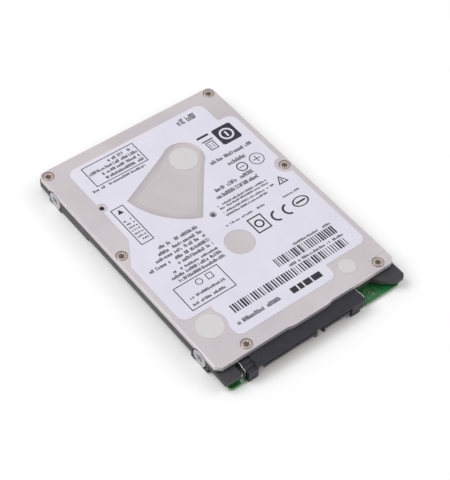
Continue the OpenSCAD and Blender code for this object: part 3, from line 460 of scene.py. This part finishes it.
for x, y in ribbon_path[2:]:
    end = Vector(second).to_3d() / 1000
    bpy.ops.object.mode_set(mode="EDIT")
    bpy.ops.mesh.select_all(action="DESELECT")
    bpy.ops.object.mode_set(mode="OBJECT")
    for e in ribbon.data.edges:
        a, b = (ribbon.data.vertices[i].co for i in e.vertices)
        e.select = all((p.xy - end.xy).length < 1e-7 for p in (a, b))
    bpy.ops.object.mode_set(mode="EDIT")
    bpy.ops.mesh.extrude_edges_move(TRANSFORM_OT_translate={
        "value": (x / 1000 - end.x, y / 1000 - end.y, 0)})
    bpy.ops.object.mode_set(mode="OBJECT")
    second = (x, y)
wall = ribbon.modifiers.new("wall", "SOLIDIFY")
wall.thickness, wall.offset = ribbon_thickness / 1000, 0
bpy.ops.object.modifier_apply(modifier="wall")
bpy.ops.object.mode_set(mode="EDIT")
bpy.ops.mesh.select_all(action="SELECT")
bpy.ops.mesh.normals_make_consistent(inside=False)
bpy.ops.object.mode_set(mode="OBJECT")
bpy.ops.object.shade_smooth_by_angle(angle=math.radians(40))
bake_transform(ribbon)
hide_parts("flex_cable")


def flat_cable(name, across, track_spacing=0.24):
    """Amber film over copper tracks, which run along the cable."""
    made = Finish(name, 0.0, 0.22, Coat_Weight=0.5, Coat_Roughness=0.1)
    track = (across(made) / track_spacing).fract().within(0.5, 0.28)
    film = made.blend(made.noise(1.5, 3), (0.36, 0.14, 0.02), (0.5, 0.22, 0.035))
    made.colour(made.blend(track, film, (0.62, 0.3, 0.07)))
    made.drive("Metallic", track * 0.35)
    made.relief(track, 0.012)
    return made


coat(flat_cable("head_cable_film", lambda made: made.z), ribbon)
coat(flat_cable("motor_cable_film", lambda made: made.y), "motor_flex")

# ---------------------------------------------------------------- voice coil motor
# Two nickel-plated steel yokes hold a pair of curved magnets over and under the coil, and rubber
# sleeves on the yokes' posts stop the arm.

coat(plated("yoke_steel", (0.5, 0.5, 0.52), (0.72, 0.72, 0.74), lump=3.0, rough=(0.22, 0.36)),
     "lower_yoke", "upper_yoke")
coat(plated("magnet_nickel", (0.46, 0.46, 0.48), (0.66, 0.66, 0.68), lump=2.0, rough=(0.12, 0.24)),
     "voice_coil_magnets")
coat(mottled("gasket_foam", (0.012, 0.012, 0.012), (0.035, 0.035, 0.036), 0.8, 0.12, 0.03,
             rough=(0.7, 0.9)), "crash_stops", "cover_gasket")

# ---------------------------------------------------------------- ramp, latch and filters
# The ramp that the heads park on and the crash latch are moulded in natural low-wear plastic. A
# felt filter stands in the disk's air stream, and another sits under the breather hole.

coat(mottled("ramp_plastic", (0.62, 0.57, 0.46), (0.74, 0.69, 0.58), 1.5, 0.2, 0.006,
             rough=(0.28, 0.4), Subsurface_Weight=0.1), "load_ramp", "latch_lever")
coat(plated("pin_steel", (0.5, 0.5, 0.52), (0.8, 0.8, 0.82), rough=(0.08, 0.18)), "latch_pin")

breather_corner = (-20, 20)
felt = Finish("filter_felt", 0.0, 0.95, Sheen_Weight=0.3)
fibre = felt.noise(0.05, 4, 0.7, (1, 6, 1)) * 0.5 + felt.noise(0.05, 4, 0.7, (6, 1, 2)) * 0.5
white = felt.blend(fibre.edge(0.3, 0.7), (0.6, 0.6, 0.57), (0.88, 0.88, 0.86))
under_breather = (felt.x < breather_corner[0]) & (felt.y > breather_corner[1])
felt.colour(felt.blend(under_breather, white, (0.012, 0.012, 0.012)))
felt.relief(fibre, 0.06)
coat(felt, "recirculation_filter", "breather_filter")

# ---------------------------------------------------------------- cover
# The cover is stamped from aluminium sheet and bead-blasted: satin, with a fan-shaped recess over
# the arm, sunk pads for the screws, a raised spot over the spindle and a turned-down edge.

cover_top = 6.88
cover_near_y, cover_far_y = -44.85, 49.95
fan_low_r, fan_high_r, fan_foot_r = 7, 26, 6.72
screw_places = [(-32.575, 47.5), (32.575, 47.5), (-32.575, 6.6), (32.575, 6.6), (-22.225, -42.3),
                (29.975, -42.2)]
dimple_at = (0.4, 3.2)
fan_angles = (189.5, 246.8)
rim_round, screw_room = 0.28, 3.4
rim_weight, edge_weight = 1.0, 0.15
rim_band, outer_band = (2.6, 2.0, 2.1), (2.05, 1.9, 2.05)

cover_finish = Finish("cover_sheet", 0.6, Specular_IOR_Level=0.5)
f = cover_finish
blast = f.noise(0.11, 2, 0.6)
cloud = f.noise(16.0, 3, 0.45)
rolled_lines = f.noise(0.35, 2, 0.5, (12, 1, 1))
tone = cloud.edge(0.32, 0.68) * 0.45 + blast * 0.35 + rolled_lines * 0.2
reach = f.ring(*pivot)
depth = fan_high_r - reach
lean = math.acos(fan_low_r / fan_high_r)
for side, start in zip((-1, 1), fan_angles):
    a, b = math.radians(start) + side * lean, math.radians(start)
    foot = Vector((pivot[0] + fan_foot_r * math.cos(a), pivot[1] + fan_foot_r * math.sin(a)))
    end = Vector((pivot[0] + fan_high_r * math.cos(b), pivot[1] + fan_high_r * math.sin(b)))
    inward = (end - foot).normalized().orthogonal() * -side
    depth = depth.math("MINIMUM", depth, (f.x - foot.x) * inward.x + (f.y - foot.y) * inward.y)
depth = depth.math("MAXIMUM", depth, fan_low_r - reach)
# Painted shade: the fan recess floor is painted a little darker, more so in a band along its walls and in a
# thin line about 1.7 mm inside them, where a step would hold shade.
low = (f.z < cover_top - 0.1) & (reach < fan_high_r + 0.2)
recess_wall_shade = low & (1 - depth.edge(0.9, 1.5))
step_line_shade = low & (depth.within(1.7, 0.22) & (reach > 8))
# Painted shade: the dimple is painted near-black in its middle, fading to the plain cover by 1 mm out, for
# the shade inside it.
dimple_shade = f.ring(*dimple_at).edge(0.55, 1.0)
plain = f.blend(tone, (0.59, 0.542, 0.565), (0.73, 0.675, 0.7))
shaded = f.blend(recess_wall_shade * 0.15 + step_line_shade * 0.13 + (low & (reach > fan_low_r)) * 0.05, plain,
                 (0.2, 0.19, 0.19))
f.colour(f.blend(dimple_shade, (0.12, 0.115, 0.115), shaded))
f.drive("Roughness", blast * 0.12 + cloud * 0.06 + 0.39)
f.relief(blast * 0.8 + rolled_lines * 0.2, 0.012)


def by_rim(p, band):
    """Whether a point is in the band inside the cover's sides, near end and far end."""
    sides, near, far = band
    return abs(p.x) > side_x - sides or p.y < cover_near_y + near or p.y > cover_far_y - far


def by_screw(p):
    return any(math.hypot(p.x - x, p.y - y) < screw_room for x, y in screw_places)


cover, cover_body = clean_copy("top_cover", "cover")
weights = cover.data.attributes.new("bevel_weight_edge", "FLOAT", "EDGE")
flat = {}
for face in cover.data.polygons:
    for key in face.edge_keys:
        flat.setdefault(key, []).append(face.normal.copy())
for e in cover.data.edges:
    a, b = (cover.data.vertices[i].co * 1000 for i in e.vertices)
    faces = flat[e.key]
    if len(faces) != 2 or faces[0].angle(faces[1], 0) < math.radians(35):
        continue
    at_top = min(a.z, b.z) > cover_top - 0.01 and abs(a.z - b.z) < 1e-3
    over_a_wall = max(n.z for n in faces) > 0.9 and min(abs(n.z) for n in faces) < 0.1
    outer = by_rim(a, rim_band) and by_rim(b, rim_band) and (by_rim(a, outer_band) or by_rim(b, outer_band))
    tight = by_screw(a) or by_screw(b)
    full = at_top and over_a_wall and outer and not tight
    weights.data[e.index].value = rim_weight if full else edge_weight
bevel = cover.modifiers.new("edges", "BEVEL")
bevel.width = rim_round / 1000
bevel.segments = 3
bevel.limit_method = "WEIGHT"
bevel.use_clamp_overlap = False
smooth(cover)
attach(cover, cover_body)
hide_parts("top_cover")
coat(cover_finish, cover)

# ---------------------------------------------------------------- cover screws
# Six steel screws with six-lobed sockets hold the cover, and one more clamps the pivot shaft.
# Their nickel plate has a warm tint, and the heads are faced on a lathe.

socket_shade_z, lathe_ring = 6.72, 0.07
screw_finish = Finish("screw_steel", 1.0)
f = screw_finish
nearest = f.ring(*screw_places[0])
for place in screw_places[1:] + [pivot]:
    nearest = nearest.math("MINIMUM", nearest, f.ring(*place))
rings = f.start.make("ShaderNodeTexNoise", {"noise_dimensions": "1D"}, {
    "W": nearest / lathe_ring, "Scale": 1.0, "Detail": 2.0})
plate = f.blend(rings * 0.6 + f.noise(1.3) * 0.4, (0.5, 0.4, 0.35), (0.86, 0.75, 0.68))
# Painted shade: whatever lies below the socket height, in the six-lobed sockets and round the lower sides
# of the heads, is painted dark brown.
f.colour(f.blend(f.z < socket_shade_z, plate, (0.2, 0.155, 0.135)))
f.drive("Roughness", rings * 0.16 + 0.2)
f.relief(rings, 0.008)
cover_screws = rounded_copy("cover_screws", "cover_screw_set", 0.14, 50, 3)
pivot_screw = rounded_copy("pivot_screw", "pivot_screw_head", 0.06, 50)
coat(screw_finish, cover_screws, pivot_screw)

# ---------------------------------------------------------------- foil seals
# Discs cut from matte aluminium foil, stuck down by their own adhesive, close the ports that the
# factory works through.

foil = Finish("seal_foil", 0.2)
crinkle = foil.noise(1.1, 3, 0.55)
skin = foil.noise(0.12, 2, 0.5, (5, 1, 1))
foil.colour(foil.blend(crinkle.edge(0.35, 0.65), (0.64, 0.622, 0.625), (0.665, 0.645, 0.65)))
foil.drive("Roughness", skin * 0.15 + 0.34)
foil.relief(crinkle * 0.15 + skin * 0.85, 0.006)
coat(foil, "foil_seals")

# ---------------------------------------------------------------- label
# The label is a white polyester film printed in dark grey, cut round the ports and the recess.
# Its text is stood for by rows of plain strokes, and its marks by plain shapes.

label = Finish("label_film", 0.0, Specular_IOR_Level=0.3)
f = label
text_rows = [  # from x, to x, middle, height of the strokes
    (-13.5, -3, 42, 1.3), (-21.8, -3, 40, 1.3), (-18, -3, 38, 1.2), (-18, -3, 36, 1.2),
    (-25, -4.5, 33.2, 1.0), (15, 22.5, 42, 2.6), (13, 29.8, 21, 1.5), (17.5, 24.5, 17.6, 1.6),
    (6.3, 23, 10.7, 1.5), (5.5, 23, 8, 1.5), (3.5, 24, 4.9, 0.8), (3.5, 23.4, 3.6, 0.8),
    (3.5, 24, 1.9, 0.8), (3.5, 21, 0.4, 0.8), (0.5, 16.2, -3, 0.8), (23, 29.5, -4.2, 0.8),
    (-21.8, -6.8, 2.3, 1.3), (-23.5, -6.8, 0.1, 1.3), (-25.8, -6.8, -1.8, 1.3), (-29.8, -22, -4, 1.3),
    (-20, -6.8, -4, 1.3), (-20.8, -6.8, -6, 1.3), (-23.8, -6.8, -8.3, 0.9), (-25.8, -6.8, -10, 1.2),
    (-24.5, -6.8, -11.9, 1.2), (-26.4, -12.6, -19.3, 1.0), (-26.4, -14.0, -21.8, 1.0),
    (12.8, 28, -21.3, 0.9), (6.5, 28.3, -27.2, 1.0), (-20, -3.6, -35.05, 1.5)]
text_rows += [(-24.4, -21.2, 8.2 + 1.5 * i, 0.7) for i in range(7)]
filed = f.nowhere()
for number, (x0, x1, y, height) in enumerate(text_rows, 1):
    inside = f.x.within((x0 + x1) / 2, (x1 - x0) / 2) & f.y.within(y, height / 2)
    up = f.y.math("MULTIPLY_ADD", f.y, 1 / height, number + 0.5 - y / height)
    filed = filed.math("MULTIPLY_ADD", inside, up, filed)
row, up = filed.floor(), filed.fract()
letter_pitch = 0.78
cell, along = (f.x / letter_pitch).floor(), (f.x / letter_pitch).fract()


def chance(seed):
    """A steady random number for each letter space of each row."""
    where = f.start.make("ShaderNodeCombineXYZ", {}, {0: cell, 1: row, 2: seed})
    return f.start.make("ShaderNodeTexWhiteNoise", {"noise_dimensions": "3D"}, {"Vector": where})


letter = along.within(0.42, 0.34)
left_stem, right_stem = along.within(0.18, 0.17), along.within(0.68, 0.17) & (chance(1.5) > 0.2)
tall = chance(2.5) > 0.45
low_bar, mid_bar, high_bar = up.within(0.1, 0.11), up.within(0.47, 0.1), up.within(0.9, 0.11)
bars = (low_bar & (chance(3.5) > 0.5)) | (mid_bar & (chance(4.5) > 0.45)) | (high_bar & (chance(5.5) > 0.5))
strokes = (left_stem | right_stem | (bars & letter)) & (tall | (up < 0.72)) & (chance(6.5) > 0.13)
ink = strokes & (row > 0.5)


def patch(x0, x1, y0, y1):
    return f.x.within((x0 + x1) / 2, (x1 - x0) / 2) & f.y.within((y0 + y1) / 2, (y1 - y0) / 2)


def frame_line(x0, x1, y0, y1, line=0.32):
    return patch(x0, x1, y0, y1) & (1 - patch(x0 + line, x1 - line, y0 + line, y1 - line))


def bar_code(x0, x1, y0, y1, bar, seed):
    place = f.start.make("ShaderNodeTexWhiteNoise", {"noise_dimensions": "1D"}, {
        "W": (f.x / bar).floor() + seed})
    return patch(x0, x1, y0, y1) & ((f.x / bar).fract() < place * 0.55 + 0.22)


def hoop(x, y, radius, line=0.42):
    return f.ring(x, y).within(radius - line / 2, line / 2)


def pyramid(x, y, size):
    """An upright triangle of three equal sides."""
    rise = f.y - y
    return (rise > -0.29 * size) & ((rise + abs(f.x - x) * 1.732) < 0.58 * size)


ink = ink | frame_line(-22.6, -2.2, 34.3, 43.8) | frame_line(-25.2, -20.3, 6.3, 23.5)
ink = ink | frame_line(-27.9, -11, -23.5, -13.3) | patch(15.9, 20.6, 31.8, 32.7)
ink = ink | pyramid(-22.8, 21.2, 2.2) | (pyramid(27.3, 1.6, 4.0) & (1 - pyramid(27.3, 1.6, 2.6)))
ink = ink | patch(27.1, 27.5, 0.9, 2.4)
black_tile = patch(22.3, 29.2, 24.9, 32.7) | patch(21.9, 29.6, 25.3, 32.3)
ink = ink | (black_tile & (1 - (hoop(25.75, 28.8, 2.6, 0.7) | patch(25.4, 26.1, 27.6, 30.0))))
ink = ink | frame_line(17.0, 20.2, 25.4, 29.2, 0.35) | patch(16.4, 20.8, 29.7, 30.2)
ink = ink | patch(17.9, 18.15, 26.2, 28.4) | patch(19.05, 19.3, 26.2, 28.4)
ink = ink | hoop(20.7, 14, 2.0) | hoop(26.8, 14, 2.6, 0.3) | patch(25.3, 28.3, 13.85, 14.15)
ink = ink | patch(19.6, 21.8, 13.85, 14.15) | patch(26.65, 26.95, 12.5, 15.5)
ink = ink | frame_line(7.2, 12.7, -11.7, -5, 0.5) | hoop(9.95, -8.35, 1.7, 0.6)
for x in (16.9, 21.5):
    ink = ink | (hoop(x, -9.1, 2.4, 0.75) & (f.x < x))
oval = (f.x - 26.5) * (f.x - 26.5) / 9.6 + (f.y + 8.8) * (f.y + 8.8) / 4.4
ink = ink | oval.within(0.82, 0.18) | patch(24.6, 28.4, -9.15, -8.45)
ink = ink | hoop(-19.5, -15.6, 1.25, 0.3) | frame_line(-16.7, -14.3, -16.8, -14.4, 0.3)
ink = ink | bar_code(3.8, 27.6, -25.8, -22.3, 0.9, 3.5) | bar_code(-18.1, 27.6, -31.6, -28.3, 1.0, 90.5)
for i, (x0, x1) in enumerate(((0.8, 3.2), (3.7, 5.4), (5.9, 8.6), (9.1, 12.6))):
    ink = ink | patch(x0, x1, -36.4, -34.1)

film = f.blend(f.noise(9.0, 3).edge(0.3, 0.7), (0.655, 0.64, 0.725), (0.69, 0.675, 0.76))
soft = f.noise(0.3, 2)
f.colour(f.blend(ink * (soft * 0.08 + 0.92), film, (0.006, 0.006, 0.01)))
f.drive("Roughness", soft * 0.1 + 0.36 - ink * 0.08)
f.relief(soft * 0.5 + ink * 0.5, 0.006)
coat(label, "product_label")

# ---------------------------------------------------------------- circuit board
# Green solder mask over etched copper on a glass-laminate board, with plated vias and bare gold
# test points. Four small screws hold it to the base over a black insulating film.

board_low, board_high = 0.35, 1.15
board_screw_places = [(-24.71, 5.0), (24.71, 23.0), (-24.71, -37.5), (24.71, -37.5)]

laminate = Finish("board_laminate", 0.0, Coat_Weight=0.7, Coat_Roughness=0.12, IOR=1.5)
f = laminate
spots = f.start.make("ShaderNodeVectorMath", {"operation": "SCALE"}, {0: f.place, "Scale": 1 / 6.5})
region = f.start.make("ShaderNodeTexVoronoi", {"distance": "CHEBYCHEV", "voronoi_dimensions": "2D"},
                      {"Vector": spots, "Scale": 1.0}, 1)
pick = f.start.make("ShaderNodeSeparateColor", {}, {0: region}, 0)
track_pitch, via_pitch = 0.52, 1.9
via_land, via_bore, screw_land = 0.3, 0.13, 2.1


def tracks(run):
    return (run / track_pitch).fract().within(0.5, 0.24)


way = (pick * 4.6).floor()
copper = (tracks(f.x) & way.within(0, 0.2)) | (tracks(f.y) & way.within(1, 0.2)) | (
    tracks((f.x + f.y) * 0.7071) & way.within(2, 0.2)) | (
    tracks((f.x - f.y) * 0.7071) & way.within(3, 0.2))
copper = copper | (way > 3.5) | ((pick * 16).fract() > 0.82)
column, line = (f.x / via_pitch).floor(), (f.y / via_pitch).floor()
where = f.start.make("ShaderNodeCombineXYZ", {}, {0: column, 1: line, 2: 0.5})
there = f.start.make("ShaderNodeTexWhiteNoise", {"noise_dimensions": "3D"}, {"Vector": where}) > 0.62
via_x, via_y = (((run / via_pitch).fract() - 0.5) * via_pitch for run in (f.x, f.y))
via_r = (via_x * via_x + via_y * via_y).root()
via = (via_r < via_land) & there
hole = (via_r < via_bore) & there
land = f.nowhere()
for place in board_screw_places:
    land = land | (f.ring(*place) < screw_land)
edge = f.z.within((board_low + board_high) / 2, (board_high - board_low) / 2 - 0.03)
mask_green = f.blend(f.noise(3.0, 2), (0.006, 0.085, 0.025), (0.01, 0.115, 0.036))
track_green = f.blend(f.noise(2.0, 2), (0.014, 0.15, 0.044), (0.022, 0.19, 0.06))
tone = f.blend(copper, mask_green, track_green)
tone = f.blend(via, tone, (0.05, 0.3, 0.11))
# Painted shade: the bore of each via is painted near-black for the shade down the hole.
tone = f.blend(hole, tone, (0.004, 0.02, 0.008))
tone = f.blend(land, tone, (0.72, 0.6, 0.32))
cloth_layer = 0.2
layers = (f.z / cloth_layer).fract().within(0.5, 0.34)
core = f.blend(layers, (0.28, 0.3, 0.12), (0.12, 0.3, 0.1))
f.colour(f.blend(edge, tone, core))
f.drive("Metallic", land * (1 - edge) * 0.85)
f.drive("Roughness", 0.3 + edge * 0.35 + f.noise(0.4) * 0.06)
f.relief((copper | via) * (1 - hole) * (1 - edge), 0.03)
board = rounded_copy("circuit_board", "board", 0.05, 60)
coat(laminate, board)

coat(plated("gold_contacts", (0.62, 0.38, 0.1), (0.84, 0.58, 0.22), lump=0.5, grain=0.08,
            rough=(0.16, 0.3)), "test_points", "motor_contacts", "power_contacts", "signal_contacts")
board_screws = rounded_copy("board_screws", "board_screw_set", 0.05)
coat(zinc, board_screws)
coat(mottled("insulator_film", (0.012, 0.012, 0.014), (0.03, 0.03, 0.034), 4.0, 0.3, 0.01,
             rough=(0.28, 0.4)), "board_insulator")

# ---------------------------------------------------------------- parts on the board
# Moulded epoxy chips, a nickel crystal can, ceramic capacitors with tinned ends, shock sensors
# and the connectors that meet the motor's and the heads' cables.

coat(mottled("chip_resin", (0.012, 0.012, 0.013), (0.028, 0.028, 0.03), 1.5, 0.07, 0.012,
             rough=(0.5, 0.7)), "controller_chip", "motor_driver_chip", "memory_chip", "flash_chip")
coat(plated("crystal_can", (0.5, 0.5, 0.48), (0.7, 0.7, 0.67)), "crystal")
ceramic = Finish("ceramic_parts", 0.0, 0.4)
lot = ceramic.noise(2.2, 1).edge(0.45, 0.55)
ceramic.colour(ceramic.blend(lot, (0.22, 0.12, 0.06), (0.4, 0.27, 0.16)))
ceramic.drive("Roughness", ceramic.noise(0.1) * 0.2 + 0.3)
ceramic.relief(ceramic.noise(0.1), 0.01)
coat(ceramic, "passive_components", "shock_sensors")

# ---------------------------------------------------------------- plug
# The plug is one moulding of dark glass-filled plastic with two keyed tongues. Gold contacts lie
# under the tongues, and a bright tinned plate at each end is soldered to the board.

plug_plastic = mottled("plug_plastic", (0.01, 0.01, 0.016), (0.019, 0.019, 0.029), 2.5, 0.09, 0.014,
                       rough=(0.42, 0.56))
plug = rounded_copy("sata_plug", "plug", 0.06)
coat(plug_plastic, plug, "head_connector")
tin = plated("tinned_steel", (0.66, 0.66, 0.67), (0.86, 0.86, 0.87), rough=(0.22, 0.36), lump=0.6)
plates = rounded_copy("plug_hold_downs", "plug_plates", 0.03)
coat(tin, plates)

# ---------------------------------------------------------------- camera, floor and light
# A plain white table under soft, even light from above and both sides. The camera looks down at
# the plug's end from the left, and is tipped a little to one side.

turn, rise, roll = math.radians(-40.392), math.radians(50.21), math.radians(3.199)
distance, shift_right, shift_up = 447.632, -2.231, 3.68
focal_length, film_side, image_side = 1409.862, 36, 480
middle_z = 3.5
back = Vector((math.sin(turn) * math.cos(rise), -math.cos(turn) * math.cos(rise), math.sin(rise)))
level = Vector((math.cos(turn), math.sin(turn), 0))
upward = back.cross(level)
right = level * math.cos(roll) + upward * math.sin(roll)
up = upward * math.cos(roll) - level * math.sin(roll)
eye = Vector((0, 0, middle_z)) + back * distance - right * shift_right - up * shift_up
bpy.ops.object.select_all(action="DESELECT")
bpy.ops.object.camera_add(location=eye / 1000)
camera = bpy.context.view_layer.objects.active
camera.matrix_world = Matrix((
    (right.x, up.x, back.x, eye.x / 1000), (right.y, up.y, back.y, eye.y / 1000),
    (right.z, up.z, back.z, eye.z / 1000), (0, 0, 0, 1)))
camera.data.sensor_width = film_side
camera.data.lens = focal_length * film_side / image_side
camera.data.clip_start, camera.data.clip_end = 0.01, 10
bpy.context.scene.camera = camera

bpy.ops.mesh.primitive_plane_add(size=3, location=(0, 0, -0.00002))
table = bpy.context.view_layer.objects.active
table.name = "table_top"
table_finish = Finish("white_table", 0.0, 0.7)
stain = table_finish.noise(60.0)
table_finish.colour(table_finish.blend(stain, (0.94, 0.94, 0.94), (0.955, 0.955, 0.955)))
coat(table_finish, table)


def softbox(name, place, size, watts):
    """A square light that faces the drive."""
    bpy.ops.object.light_add(type="AREA", location=place)
    light = bpy.context.view_layer.objects.active
    light.name = name
    light.data.size = size
    light.data.energy = watts
    light.rotation_euler = Vector(place).to_track_quat("Z", "Y").to_euler()


softbox("key_softbox", (-0.35, 0.25, 0.6), 0.5, 2.9)
softbox("fill_softbox", (0.55, -0.3, 0.45), 0.5, 1.4)
world = bpy.data.worlds.new("studio")
bpy.context.scene.world = world
world.use_nodes = True
sky = world.node_tree.nodes["Background"]
sky.inputs["Color"].default_value = (1, 1, 1, 1)
sky.inputs["Strength"].default_value = 0.6
bpy.context.scene.view_settings.view_transform = "Standard"
